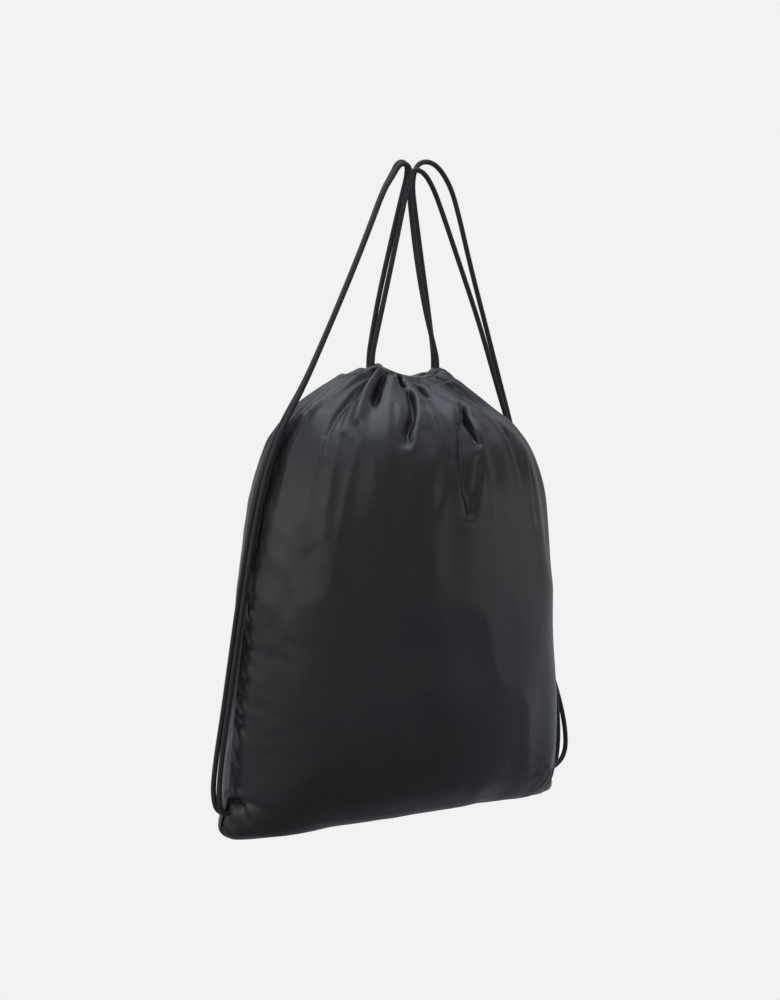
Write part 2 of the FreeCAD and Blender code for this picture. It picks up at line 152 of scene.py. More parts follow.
def satin_nylon():
    """Black satin nylon: plain weave about 0.3 mm a thread, faint creasing, soft sheen."""
    material, tree, shader = new_material("satin_nylon")
    coord = add_node(tree, "ShaderNodeTexCoord")
    parts = add_node(tree, "ShaderNodeSeparateXYZ")
    tree.links.new(coord.outputs["UV"], parts.inputs[0])
    thread = 2 * math.pi / (THREAD_PAIR * MM)
    warp = math_node(tree, "SINE", math_node(tree, "MULTIPLY", parts.outputs[0], thread))
    weft = math_node(tree, "SINE", math_node(tree, "MULTIPLY", parts.outputs[1], thread))
    weave = math_node(tree, "MULTIPLY", warp, weft)
    crinkle = noise_node(tree, coord.outputs["Object"], 55.0, 4.0, 0.55)
    crumple = noise_node(tree, coord.outputs["Object"], 14.0, 3.0, 0.5)
    tone = noise_node(tree, coord.outputs["Object"], 6.0, 2.0, 0.5)
    colour = mix_colour(tree, tone, (0.0121, 0.0120, 0.0122, 1.0), (0.0176, 0.0175, 0.0177, 1.0))
    tree.links.new(colour, shader.inputs["Base Color"])
    rough = math_node(tree, "MULTIPLY_ADD", crumple, 0.10, 0.19)
    tree.links.new(rough, shader.inputs["Roughness"])
    shader.inputs["Specular IOR Level"].default_value = 0.5
    shader.inputs["Sheen Weight"].default_value = 0.03
    shader.inputs["Sheen Roughness"].default_value = 0.4
    normal = bump_node(tree, weave, 0.00004, 0.35)
    # the casing is sewn down along one line: thread dashes in a shallow furrow
    off_line = math_node(tree, "SUBTRACT", parts.outputs[1], HEM_LINE * MM)
    off_line = math_node(tree, "ABSOLUTE", off_line)
    furrow = math_node(tree, "SUBTRACT", 1.0, math_node(tree, "DIVIDE", off_line, 0.0009))
    dash = math_node(tree, "MULTIPLY", parts.outputs[0], 2 * math.pi / (STITCH * MM))
    dash = math_node(tree, "SINE", dash)
    dash = math_node(tree, "MULTIPLY_ADD", math_node(tree, "GREATER_THAN", dash, -0.4), 2.0, -1.0)
    sewn = math_node(tree, "MULTIPLY", math_node(tree, "MAXIMUM", furrow, 0.0), dash)
    normal = bump_node(tree, sewn, 0.0006, 0.8, normal)
    normal = bump_node(tree, crinkle, 0.0012, 0.35, normal)
    tree.links.new(normal, shader.inputs["Normal"])
    return material


def braided_cord():
    """Black braided polyester cord: strands that cross every 2.5 mm of its drop, eight round it."""
    material, tree, shader = new_material("braided_cord")
    coord = add_node(tree, "ShaderNodeTexCoord")
    place = add_node(tree, "ShaderNodeSeparateXYZ")
    tree.links.new(coord.outputs["Object"], place.inputs[0])
    parts = add_node(tree, "ShaderNodeSeparateXYZ")
    tree.links.new(coord.outputs["UV"], parts.inputs[0])
    along = math_node(tree, "MULTIPLY", place.outputs[2], 2 * math.pi / (CROSSING * MM))
    round_it = math_node(tree, "MULTIPLY", parts.outputs[1], 2 * math.pi * STRANDS)
    one_way = math_node(tree, "SINE", math_node(tree, "ADD", along, round_it))
    other_way = math_node(tree, "SINE", math_node(tree, "SUBTRACT", along, round_it))
    plait = math_node(tree, "MAXIMUM", one_way, other_way)
    # painted shade: the colour is darker where the braid sinks between its raised strands
    tone = math_node(tree, "MULTIPLY_ADD", plait, 0.25, 0.5)
    colour = mix_colour(tree, tone, (0.006, 0.006, 0.007, 1.0), (0.022, 0.022, 0.024, 1.0))
    tree.links.new(colour, shader.inputs["Base Color"])
    shader.inputs["Roughness"].default_value = 0.5
    shader.inputs["Sheen Weight"].default_value = 0.15
    shader.inputs["Sheen Roughness"].default_value = 0.4
    tree.links.new(bump_node(tree, plait, 0.0004, 0.6), shader.inputs["Normal"])
    return material


def seam_thread():
    """Spun polyester sewing thread."""
    material, tree, shader = new_material("seam_thread")
    coord = add_node(tree, "ShaderNodeTexCoord")
    twist = noise_node(tree, coord.outputs["Object"], 900.0, 2.0, 0.6)
    colour = mix_colour(tree, twist, (0.010, 0.010, 0.011, 1.0), (0.024, 0.024, 0.026, 1.0))
    tree.links.new(colour, shader.inputs["Base Color"])
    shader.inputs["Roughness"].default_value = 0.6
    tree.links.new(bump_node(tree, twist, 0.0003, 0.4), shader.inputs["Normal"])
    return material


NYLON = satin_nylon()
BRAID = braided_cord()
THREAD = seam_thread()

# ---------------------------------------------------------------- drawstrings
CORD = 0.0045            # across, metres
CORNER_X = 149.9
CORNER_Z = -549.0
EXIT_X, EXIT_Y, EXIT_Z = 33.5, 2.9, -176.0
LEFT_TUNNEL_Z = -187.5
RIGHT_TUNNEL_Z = -192.4

ROUTES = {
    "left_cord_front": [
        (-CORNER_X, -2.6, CORNER_Z), (-168.0, -2.6, CORNER_Z), (-171.4, -2.6, -529.0),
        (-168.6, -2.8, -498.0), (-164.0, -2.8, -464.0), (-158.3, -3.2, -422.0),
        (-152.4, -3.6, -378.0), (-146.6, -3.7, -336.0), (-139.2, -3.7, -294.0),
        (-129.6, -3.7, -256.0), (-116.8, -4.6, -226.0), (-99.8, -6.0, -194.0),
        (-80.2, -7.2, -150.0), (-58.6, -7.2, -102.0), (-41.8, -7.2, -62.0),
        (-27.6, -7.2, -26.0), (-18.2, -7.2, -11.8), (-11.4, -7.2, -0.6),
        (-2.2, -7.2, -1.4), (-1.4, -7.2, -11.8), (-4.5, -6.9, -24.0),
        (-13.3, -5.5, -69.0), (-22.8, -3.9, -116.0), (-31.4, -3.0, -156.0),
        (-EXIT_X, -EXIT_Y, -167.0), (-EXIT_X, -EXIT_Y, EXIT_Z),
    ],
    "left_cord_rear": [
        (-CORNER_X, 2.6, CORNER_Z), (-168.0, 2.6, CORNER_Z), (-174.4, 2.8, -531.0),
        (-171.0, 3.2, -500.0), (-165.6, 3.4, -466.0), (-160.0, 3.2, -424.0),
        (-154.0, 2.8, -378.0), (-147.6, 2.3, -334.0), (-139.8, 2.1, -290.0),
        (-129.0, 1.6, -252.0), (-115.4, 0.8, -223.0), (-98.2, -0.6, -194.0),
        (-78.2, -2.2, -150.0), (-56.6, -2.4, -101.0), (-39.8, -2.4, -61.0),
        (-25.8, -2.4, -25.0), (-17.0, -2.4, -10.2), (-10.6, -2.4, 2.0),
        (-1.4, -2.4, 1.0), (-1.6, -2.4, -9.8), (-6.0, -2.3, -26.0),
        (-16.6, -1.2, -71.0), (-26.4, 1.0, -118.0), (-32.2, 2.6, -156.0),
        (-EXIT_X, EXIT_Y, -167.0), (-EXIT_X, EXIT_Y, EXIT_Z),
    ],
    "right_cord_front": [
        (CORNER_X, -2.6, CORNER_Z), (164.0, -2.6, CORNER_Z), (177.6, -2.8, -547.0),
        (181.6, -2.8, -526.0), (180.6, -2.8, -498.0), (175.8, -2.8, -468.0),
        (167.0, -2.8, -430.0), (157.8, -2.8, -388.0), (150.6, -2.8, -340.0),
        (142.2, -2.6, -295.0), (130.6, -2.0, -254.0), (115.6, 0.0, -221.0),
        (101.2, 1.8, -181.0), (82.1, 2.4, -130.0), (59.6, 2.4, -80.0),
        (40.6, 2.4, -38.0), (29.4, 2.4, -15.0), (18.6, 2.4, -2.2),
        (6.8, 2.4, -1.6), (3.6, 2.4, -15.6), (6.4, 2.2, -40.0),
        (12.2, 0.4, -82.0), (20.6, -1.6, -124.0), (30.6, -2.8, -157.0),
        (EXIT_X, -EXIT_Y, -168.0), (EXIT_X, -EXIT_Y, EXIT_Z),
    ],
    "right_cord_rear": [
        (CORNER_X, 2.6, CORNER_Z), (166.0, 2.6, CORNER_Z), (184.0, 2.8, -547.6),
        (196.0, 2.8, -535.0), (194.6, 3.0, -510.0), (186.6, 3.2, -482.0),
        (174.0, 3.4, -450.0), (161.6, 3.4, -410.0), (153.2, 3.4, -362.0),
        (146.4, 3.2, -316.0), (137.6, 3.4, -272.0), (124.4, 5.0, -226.0),
        (109.2, 6.8, -179.0), (92.2, 7.2, -129.0), (75.2, 7.2, -81.0),
        (61.4, 7.2, -37.0), (50.8, 7.2, -9.0), (33.6, 7.2, 9.0),
        (15.0, 7.2, 6.4), (9.8, 7.2, -12.6), (13.8, 6.8, -38.0),
        (21.0, 5.6, -82.0), (27.6, 4.2, -122.0), (32.6, 3.1, -156.0),
        (EXIT_X, EXIT_Y, -167.0), (EXIT_X, EXIT_Y, EXIT_Z),
    ],
    "left_tunnel_cord": [
        (-EXIT_X, -EXIT_Y, EXIT_Z), (-EXIT_X, -EXIT_Y, LEFT_TUNNEL_Z),
        (-19.5, -12.4, LEFT_TUNNEL_Z), (0.0, -12.8, LEFT_TUNNEL_Z),
        (18.0, -12.0, LEFT_TUNNEL_Z), (27.6, -4.4, LEFT_TUNNEL_Z),
        (27.6, 4.4, LEFT_TUNNEL_Z), (18.0, 12.0, LEFT_TUNNEL_Z),
        (0.0, 12.8, LEFT_TUNNEL_Z), (-19.5, 12.4, LEFT_TUNNEL_Z),
        (-EXIT_X, EXIT_Y, LEFT_TUNNEL_Z), (-EXIT_X, EXIT_Y, EXIT_Z),
    ],
    "right_tunnel_cord": [
        (EXIT_X, -EXIT_Y, EXIT_Z), (EXIT_X, -EXIT_Y, RIGHT_TUNNEL_Z),
        (19.5, -12.4, RIGHT_TUNNEL_Z), (0.0, -12.8, RIGHT_TUNNEL_Z),
        (-18.0, -12.0, RIGHT_TUNNEL_Z), (-27.6, -4.4, RIGHT_TUNNEL_Z),
        (-27.6, 4.4, RIGHT_TUNNEL_Z), (-18.0, 12.0, RIGHT_TUNNEL_Z),
        (0.0, 12.8, RIGHT_TUNNEL_Z), (19.5, 12.4, RIGHT_TUNNEL_Z),
        (EXIT_X, EXIT_Y, RIGHT_TUNNEL_Z), (EXIT_X, EXIT_Y, EXIT_Z),
    ],
}


def cord_curve(name, points):
    """A round cord whose smooth line has the route's points as its control points."""
    curve = bpy.data.curves.new(name, "CURVE")
    curve.dimensions = "3D"
    spline = curve.splines.new("NURBS")
    spline.points.add(len(points) - 1)
    for spot, point in zip(spline.points, points):
        spot.co = (point[0] * MM, point[1] * MM, point[2] * MM, 1.0)
    spline.order_u = 3
    spline.use_endpoint_u = True
    spline.resolution_u = 8
    curve.bevel_depth = CORD / 2
    curve.bevel_resolution = 5
    curve.use_fill_caps = True
    cord = bpy.data.objects.new(name, curve)
    bpy.context.collection.objects.link(cord)
    curve.materials.append(BRAID)
    return cord


for name, points in ROUTES.items():
    cord = cord_curve(name + "_braid", points)
    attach(cord, "root")
    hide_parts(name)

# ---------------------------------------------------------------- bag shape
# Height over the underside, half width, half depth, radius of the ends.
BAG_FOOT = -561.0
SECTIONS = [
    (0.0, 156.0, 33.0, 22.0), (4.0, 160.0, 45.0, 33.0), (12.0, 161.5, 57.0, 44.0),
    (30.0, 161.5, 73.0, 59.0), (60.0, 159.5, 87.0, 70.0), (100.0, 156.5, 96.0, 79.0),
    (150.0, 151.5, 101.0, 85.0), (200.0, 146.0, 106.0, 91.0), (250.0, 139.0, 108.0, 94.0),
    (290.0, 130.0, 108.0, 94.0), (320.0, 119.0, 99.0, 82.0), (342.0, 103.0, 80.0, 63.0),
    (362.0, 78.0, 50.0, 40.0), (376.0, 54.0, 32.0, 26.0), (387.0, 38.0, 20.0, 16.0),
]
# The hem rolls over at the mouth and runs down inside: the same four sizes.
ROLLED_HEM = [
    (388.2, 34.0, 16.5, 13.5), (386.5, 28.0, 12.0, 10.0), (380.0, 22.0, 8.5, 7.0),
    (370.0, 18.5, 6.4, 5.2), (358.0, 17.5, 5.8, 4.6), (350.0, 17.5, 5.8, 4.6),
]
COLUMNS = 228            # across one panel
FLOOR_ROWS = 14
LOW_STEP = 2.1           # between rows up to the shoulder, and above it
HIGH_STEP = 1.6
SHOULDER_RUN = 325.0


def smooth_between(rows, height):
    """Sizes at a height, on a smooth line through the rows."""
    heights = [row[0] for row in rows]
    place = min(max(np.searchsorted(heights, height) - 1, 0), len(rows) - 2)
    before, start, end, after = (rows[min(max(place + k, 0), len(rows) - 1)]
                                 for k in (-1, 0, 1, 2))
    span = end[0] - start[0]
    t = (height - start[0]) / span
    sizes = []
    for k in (1, 2, 3):
        rise_in = (end[k] - before[k]) / (end[0] - before[0])
        rise_out = (after[k] - start[k]) / (after[0] - start[0])
        sizes.append((2 * t ** 3 - 3 * t ** 2 + 1) * start[k]
                     + (t ** 3 - 2 * t ** 2 + t) * span * rise_in
                     + (3 * t ** 2 - 2 * t ** 3) * end[k] + (t ** 3 - t ** 2) * span * rise_out)
    return sizes


def oval_half(a, b, r, shares):
    """Front half of a flat oval of four arcs, left seam to right, at shares of its length."""
    offset = ((a - r) ** 2 - (b - r) ** 2) / (2 * (b - r))
    turn = math.atan2(offset, a - r)
    big = offset + b
    end_length = r * turn
    total = 2 * end_length + big * (math.pi - 2 * turn)
    ring = np.zeros((len(shares), 2))
    for k, run in enumerate(shares * total):
        if run < end_length:
            angle = math.pi + run / r
            ring[k] = (r - a + r * math.cos(angle), r * math.sin(angle))
        elif run <= total - end_length:
            angle = math.pi + turn + (run - end_length) / big
            ring[k] = (big * math.cos(angle), offset + big * math.sin(angle))
        else:
            angle = 2 * math.pi - turn + (run - total + end_length) / r
            ring[k] = (a - r + r * math.cos(angle), r * math.sin(angle))
    return ring, total


def cloth_rows():
    """Heights of the rows up the middle of the front, and their runs from the bottom seam."""
    fine = np.linspace(SECTIONS[0][0], SECTIONS[-1][0], 1600)
    depth = np.array([smooth_between(SECTIONS, h)[1] for h in fine])
    run = np.concatenate([[0], np.cumsum(np.hypot(np.diff(fine), np.diff(depth)))])
    run += SECTIONS[0][2]
    low = np.arange(run[0], SHOULDER_RUN, LOW_STEP)
    high = np.linspace(SHOULDER_RUN, run[-1], int((run[-1] - SHOULDER_RUN) / HIGH_STEP) + 1)
    rows = np.concatenate([low[:-1], high])
    return np.interp(rows, run, fine), rows


def panel_grid(side):
    """Points of one panel, bottom seam to rolled hem, left seam to right; side -1 is the front."""
    shares = np.linspace(0, 1, COLUMNS + 1)
    heights, runs = cloth_rows()
    rings, along = [], []
    base, _ = oval_half(*SECTIONS[0][1:], shares)
    for k in range(FLOOR_ROWS):
        share = k / FLOOR_ROWS
        rings.append(np.column_stack([base[:, 0], base[:, 1] * share, np.zeros(len(base))]))
        along.append(share * SECTIONS[0][2])
    for height, run in zip(heights, runs):
        ring, _ = oval_half(*smooth_between(SECTIONS, height), shares)
        rings.append(np.column_stack([ring, np.full(len(ring), height)]))
        along.append(run)
    before = SECTIONS[-1]
    for row in ROLLED_HEM:
        steps = max(2, int(abs(row[0] - before[0]) / 3.0))
        for k in range(1, steps + 1):
            sizes = [before[n] + (row[n] - before[n]) * k / steps for n in range(4)]
            ring, _ = oval_half(*sizes[1:], shares)
            rings.append(np.column_stack([ring, np.full(len(ring), sizes[0])]))
            along.append(along[-1] + 3.0)
        before = row
    grid = np.array(rings)
    grid[:, :, 1] *= -side
    return grid, np.array(along)


def outward(grid, side):
    """Unit normals of a grid of points, pointing out of the bag."""
    normals = np.cross(np.gradient(grid, axis=1), np.gradient(grid, axis=0)) * -side
    return normals / np.maximum(np.linalg.norm(normals, axis=2, keepdims=True), 1e-9)


# ---------------------------------------------------------------- folds
# A fold: line of (share across the panel, run up the cloth), width at start and end,
# depth at start and end, strength of its lips, and of their closing in over it.
FRONT_FOLDS = [
    ("left_sweep", [(-0.632, 474), (-0.619, 459), (-0.631, 440), (-0.668, 424),
                    (-0.687, 413), (-0.696, 400), (-0.697, 388), (-0.691, 373)],
     2.4, 3.6, 8.0, 1.0, 0.35, 0.6),
    ("left_flap_line", [(-0.685, 475), (-0.734, 463), (-0.755, 448), (-0.776, 432), (-0.787, 416)],
     1.7, 2.4, 2.6, 0.5, 0.3, 0.3),
    ("left_flap_upper", [(-0.742, 474), (-0.854, 465), (-0.887, 452), (-0.912, 434), (-0.906, 418)],
     1.7, 2.4, 2.0, 0.5, 0.3, 0.2),
    ("left_shoulder_line", [(-0.897, 477), (-0.897, 467), (-0.897, 457), (-0.897, 443),
                            (-0.897, 436)],
     1.8, 2.4, 1.8, 0.5, 0.3, 0.2),
    ("pocket_left", [(-0.533, 472), (-0.511, 462), (-0.489, 450), (-0.482, 438), (-0.478, 426)],
     2.6, 2.0, 8.0, 3.0, 0.25, 0.3),
    ("pocket_left_side", [(-0.488, 453), (-0.505, 443), (-0.500, 429), (-0.482, 417)],
     1.8, 1.6, 3.0, 1.0, 0.3, 0.2),
    ("wedge", [(-0.335, 479), (-0.305, 469), (-0.262, 458)],
     4.6, 2.6, 9.0, 8.0, 0.1, 0.5),
    ("middle_hook", [(-0.249, 458), (-0.229, 447), (-0.229, 436), (-0.244, 420),
                     (-0.256, 408), (-0.281, 399), (-0.297, 390), (-0.303, 381)],
     2.4, 3.0, 7.5, 4.2, 0.42, 0.5),
    ("middle_hook_right", [(-0.256, 408), (-0.262, 397), (-0.278, 384), (-0.290, 376)],
     1.8, 1.8, 1.6, 1.2, 0.3, 0.1),
    ("middle_fan", [(-0.170, 482), (-0.130, 472), (-0.080, 458), (-0.077, 440)],
     2.4, 3.0, 8.0, 1.6, 0.2, 0.4),
    ("middle_fan_low", [(-0.125, 482), (-0.100, 468), (-0.070, 454)],
     1.6, 1.6, 2.4, 1.0, 0.3, 0.2),
    ("middle_soft", [(-0.151, 430), (-0.156, 411), (-0.162, 395), (-0.171, 378)],
     7.0, 5.0, 2.4, 0.6, 0.1, 0.0),
    ("right_pocket", [(0.161, 433), (0.098, 411), (0.078, 394), (0.077, 381)],
     2.2, 3.0, 5.0, 7.0, 0.4, 0.4),
    ("long_pocket_left", [(0.123, 428), (-0.013, 394), (-0.049, 365), (-0.037, 341), (-0.010, 323)],
     5.4, 4.4, 4.6, 3.4, 0.06, 0.3),
    ("long_pocket", [(0.069, 376), (0.052, 362), (0.032, 345), (0.010, 331), (-0.003, 322)],
     3.0, 3.2, 1.8, 2.0, 0.3, 0.1),
    ("right_pleat_a", [(0.159, 476), (0.222, 469), (0.278, 461), (0.300, 451), (0.324, 443)],
     1.8, 2.4, 5.5, 2.6, 0.4, 0.3),
    ("right_pleat_b", [(0.354, 479), (0.416, 468), (0.454, 456), (0.478, 441), (0.448, 424)],
     1.8, 2.6, 6.0, 3.0, 0.45, 0.3),
    ("right_pleat_c", [(0.372, 462), (0.384, 448), (0.365, 432), (0.342, 418)],
     1.8, 2.8, 4.2, 1.6, 0.4, 0.2),
    ("right_edge_a", [(0.486, 389), (0.476, 373), (0.448, 354), (0.454, 332), (0.471, 314)],
     3.0, 4.0, 4.0, 1.4, 0.4, 0.1),
    ("right_edge_b", [(0.351, 403), (0.352, 385), (0.344, 365), (0.356, 344)],
     3.0, 4.4, 3.2, 0.8, 0.3, 0.0),
    ("right_drop_a", [(0.214, 407), (0.142, 384), (0.123, 362), (0.139, 340)],
     5.0, 7.0, 2.4, 0.6, 0.2, 0.0),
    ("right_drop_b", [(0.088, 378), (0.077, 356), (0.090, 335)],
     4.0, 6.0, 1.6, 0.4, 0.2, 0.0),
    ("middle_drop_a", [(-0.196, 398), (-0.189, 384), (-0.188, 373)],
     4.0, 5.0, 0.8, 0.3, 0.2, 0.0),
    ("middle_drop_b", [(-0.085, 378), (-0.108, 362), (-0.134, 345), (-0.175, 322)],
     5.0, 6.0, 1.5, 1.0, 0.1, 0.0),
    ("middle_drop_c", [(-0.313, 363), (-0.307, 347), (-0.311, 331)],
     6.0, 8.0, 0.6, 0.8, 0.1, 0.0),
    ("left_drop_a", [(-0.375, 424), (-0.369, 405), (-0.385, 386)],
     3.0, 5.0, 2.0, 0.3, 0.2, 0.0),
    ("left_drop_b", [(-0.567, 402), (-0.552, 385), (-0.556, 371)],
     3.0, 4.0, 1.6, 0.3, 0.3, 0.0),
    ("left_drop_c", [(-0.612, 391), (-0.603, 376), (-0.599, 362)],
     3.0, 5.0, 1.2, 0.2, 0.3, 0.0),
    ("corner_curl", [(-1.000, 79), (-0.943, 81), (-0.891, 77), (-0.860, 68)],
     1.8, 2.4, 5.0, 2.0, 0.4, 0.3),
    ("corner_ray_a", [(-1.000, 76), (-0.964, 71), (-0.930, 58)],
     1.6, 2.4, 4.2, 1.6, 0.4, 0.2),
    ("corner_ray_b", [(-1.000, 73), (-0.998, 66), (-0.978, 49)],
     1.6, 2.2, 3.8, 1.3, 0.4, 0.2),
    ("corner_ray_c", [(-1.000, 82), (-0.911, 84), (-0.835, 83), (-0.772, 79)],
     1.8, 3.0, 3.2, 1.0, 0.3, 0.1),
    ("side_a", [(-1.000, 252), (-0.959, 251), (-0.901, 249)],
     1.8, 3.1, 0.77, 0.2, 0.3, 0.1),
    ("side_b", [(-0.989, 214), (-0.934, 211), (-0.879, 207)],
     1.8, 3.4, 0.99, 0.2, 0.3, 0.1),
    ("side_c", [(-1.000, 203), (-0.945, 200), (-0.893, 195)],
     1.8, 3.1, 0.88, 0.2, 0.3, 0.1),
    ("side_d", [(-1.000, 187), (-0.952, 185), (-0.910, 182)],
     1.8, 3.1, 0.88, 0.2, 0.3, 0.1),
    ("side_e", [(-1.000, 173), (-0.954, 171), (-0.915, 168)],
     1.8, 3.1, 0.99, 0.2, 0.3, 0.1),
    ("side_f", [(-1.000, 159), (-0.934, 155), (-0.876, 150), (-0.851, 144)],
     2.0, 3.4, 1.2, 0.3, 0.4, 0.2),
    ("side_g", [(-1.000, 150), (-0.950, 148), (-0.894, 142), (-0.867, 138)],
     2.0, 3.1, 0.99, 0.2, 0.3, 0.1),
    ("side_h", [(-1.000, 113), (-0.954, 111), (-0.905, 111)],
     1.8, 3.1, 0.77, 0.2, 0.3, 0.1),
    ("pale_a", [(-0.870, 249), (-0.875, 232), (-0.867, 214), (-0.839, 196)],
     3.6, 3.6, 0.32, 0.23, 0.5, 0),
    ("pale_b", [(-0.856, 208), (-0.787, 207), (-0.712, 204)],
     3.6, 5.1, 0.36, 0.14, 0.5, 0),
    ("pale_c", [(-0.888, 170), (-0.811, 163), (-0.728, 158), (-0.655, 152)],
     3.6, 5.1, 0.45, 0.18, 0.5, 0),
    ("pale_d", [(-0.835, 138), (-0.774, 141), (-0.700, 146), (-0.636, 150)],
     3.6, 5.1, 0.41, 0.14, 0.5, 0),
    ("pale_e", [(-0.811, 125), (-0.760, 130), (-0.692, 127), (-0.655, 132)],
     3.9, 5.1, 0.41, 0.14, 0.5, 0),
    ("pale_f", [(-0.846, 106), (-0.876, 94), (-0.904, 84)],
     3.6, 4.2, 0.41, 0.18, 0.5, 0),
    ("pale_g", [(-0.776, 220), (-0.686, 215), (-0.608, 218)],
     4.5, 6.0, 0.27, 0.14, 0.5, 0),
    ("pale_h", [(-0.721, 284), (-0.646, 294), (-0.600, 300)],
     4.5, 6.0, 0.27, 0.14, 0.5, 0),
    ("pale_i", [(-0.722, 259), (-0.758, 244), (-0.809, 229)],
     4.5, 6.0, 0.27, 0.14, 0.5, 0),
    ("right_corner_lens", [(0.771, 82), (0.780, 74), (0.800, 62)],
     2.2, 2.4, 7.0, 5.0, 0.4, 0.3),
    ("right_corner_a", [(0.700, 83), (0.688, 74), (0.660, 64)],
     1.8, 2.4, 2.0, 0.5, 0.4, 0.2),
    ("right_corner_b", [(0.674, 87), (0.590, 88), (0.511, 84)],
     1.8, 2.6, 1.6, 0.4, 0.4, 0.1),
]
# Long humps between the folds: shares of the way across, and how far each stands out.
FRONT_HUMPS = [(-0.80, 3.4), (-0.575, 4.6), (-0.385, 4.6), (-0.175, 4.4), (-0.02, 3.6),
               (0.17, 4.2), (0.37, 3.6), (0.62, 3.4)]
BACK_HUMPS = [(-0.78, 3.6), (-0.56, 4.6), (-0.34, 4.2), (-0.12, 4.8), (0.11, 4.0),
              (0.33, 4.8), (0.55, 4.2), (0.79, 3.6)]
NO_FOLD = 1e9            # farther than any fold reaches
FOLD_REACH = 30.0        # mm
DEEPER = 1.25            # every fold, over its depth as listed
MOUTH_FOLD = 465         # folds that start below this run fade in
# Folds that start at a share below this, and the named ones, have their flap, under which they
# are steep, on the right as seen from outside the bag. The others have it on the left.
FLAP_TURN = 0.1
RIGHT_FLAPS = {"right_pocket"}


def on_cloth(grid, along, line, spacing=1.5):
    """Points on the panel along a line, with each one's share of the line's length."""
    columns = grid.shape[1]
    line = np.array(line, dtype=float)
    spots = []
    for (u0, s0), (u1, s1) in zip(line, line[1:]):
        for t in np.linspace(0, 1, 12, endpoint=False):
            spots.append((u0 + (u1 - u0) * t, s0 + (s1 - s0) * t))
    spots.append(tuple(line[-1]))
    out = []
    for u, s in spots:
        column = min(max((u + 1) / 2 * (columns - 1), 0), columns - 1.001)
        row = min(max(np.interp(s, along, np.arange(len(along))), 0), len(along) - 1.001)
        i, j = int(column), int(row)
        fi, fj = column - i, row - j
        out.append((grid[j, i] * (1 - fi) + grid[j, i + 1] * fi) * (1 - fj)
                   + (grid[j + 1, i] * (1 - fi) + grid[j + 1, i + 1] * fi) * fj)
    out = np.array(out)
    run = np.concatenate([[0], np.cumsum(np.linalg.norm(np.diff(out, axis=0), axis=1))])
    count = max(int(run[-1] / spacing), 2)
    even = np.linspace(0, run[-1], count + 1)
    return np.column_stack([np.interp(even, run, out[:, k]) for k in range(3)]), even / run[-1]


def from_line(points, normals, spots, shares):
    """For each point: distance to the line, share along it, way to it, and which side it's on."""
    best = np.full(len(points), NO_FOLD)
    share = np.zeros(len(points))
    way = np.zeros_like(points)
    lean = np.zeros(len(points))
    course = np.gradient(spots, axis=0)
    low, high = spots.min(axis=0) - FOLD_REACH, spots.max(axis=0) + FOLD_REACH
    near = np.all((points > low) & (points < high), axis=1)
    chosen = np.nonzero(near)[0]
    if len(chosen):
        gaps = points[chosen][:, None, :] - spots[None, :, :]
        apart = np.linalg.norm(gaps, axis=2)
        nearest = apart.argmin(axis=1)
        gap = gaps[np.arange(len(chosen)), nearest]
        across = np.cross(normals[chosen], course[nearest])
        across /= np.maximum(np.linalg.norm(across, axis=1, keepdims=True), 1e-9)
        best[chosen] = apart[np.arange(len(chosen)), nearest]
        share[chosen] = shares[nearest]
        way[chosen] = -gap
        turned = (gap * across).sum(axis=1) / np.maximum(best[chosen], 1e-6)
        lean[chosen] = np.clip(turned, -1, 1)
    return best, share, way, lean


def smooth_step(value, low, high):
    """Nought below low, one above high, and smooth between."""
    t = np.clip((value - low) / (high - low), 0, 1)
    return t * t * (3 - 2 * t)


def bell(value, middle, width):
    """One at the middle, and nearly nought two widths away."""
    return np.exp(-((value - middle) / width) ** 2)


def add_folds(points, normals, grid, along, folds, firm):
    """Creases along each fold's line: steep under the flap on one side, soft on the other."""
    lift = np.zeros(len(points))
    shift = np.zeros_like(points)
    for name, line, wide0, wide1, deep0, deep1, lip, pinch in folds:
        spots, shares = on_cloth(grid, along, line)
        apart, share, way, lean = from_line(points, normals, spots, shares)
        flap = 1.0 if line[0][0] < FLAP_TURN or name in RIGHT_FLAPS else -1.0
        # narrower than listed on the flap's side, and wider on the other
        wide = (wide0 + (wide1 - wide0) * share) * (1.2 - 0.5 * flap * lean)
        deep = DEEPER * (deep0 + (deep1 - deep0) * share) * firm
        # shallower at its end, and at its start unless that is at the mouth
        if line[0][1] < MOUTH_FOLD:
            deep = deep * smooth_step(share, 0.0, 0.2)
        deep = deep * (1 - 0.35 * smooth_step(share, 0.85, 1.0))
        # a groove with raised lips, which close in over it
        groove = bell(apart, 0.0, wide)
        lift += deep * (0.6 * lip * bell(apart, 2.5 * wide, 1.4 * wide) - groove)
        pull = 0.35 * pinch * deep * bell(apart, 1.4 * wide, 1.1 * wide)
        shift += way / np.maximum(apart, 0.3)[:, None] * pull[:, None]
    return points + normals * lift[:, None] + shift


def value_noise(x, y, seed, count=64):
    """Smooth random heights between -1 and 1 over a plane; one lattice square is one unit."""
    lattice = np.random.default_rng(seed).uniform(-1, 1, (count, count))
    i, j = np.floor(x).astype(int), np.floor(y).astype(int)
    fx, fy = x - i, y - j
    fx, fy = fx * fx * (3 - 2 * fx), fy * fy * (3 - 2 * fy)
    a, b = lattice[j % count, i % count], lattice[j % count, (i + 1) % count]
    c, d = lattice[(j + 1) % count, i % count], lattice[(j + 1) % count, (i + 1) % count]
    return (a * (1 - fx) + b * fx) * (1 - fy) + (c * (1 - fx) + d * fx) * fy


def patches(across, up, wide, tall, shift, seed):
    """Random heights between -1 and 1 in patches of about wide by tall mm."""
    return value_noise(across / wide + shift[0], up / tall + shift[1], seed)


HALF_CLOTH = 200.0       # half the width of the flat panel, mm
PLEAT = 34.0             # flat cloth in one pleat of the pulled hem
RIM_COLUMNS = 16         # to each side, over which the stiff rim is evened out
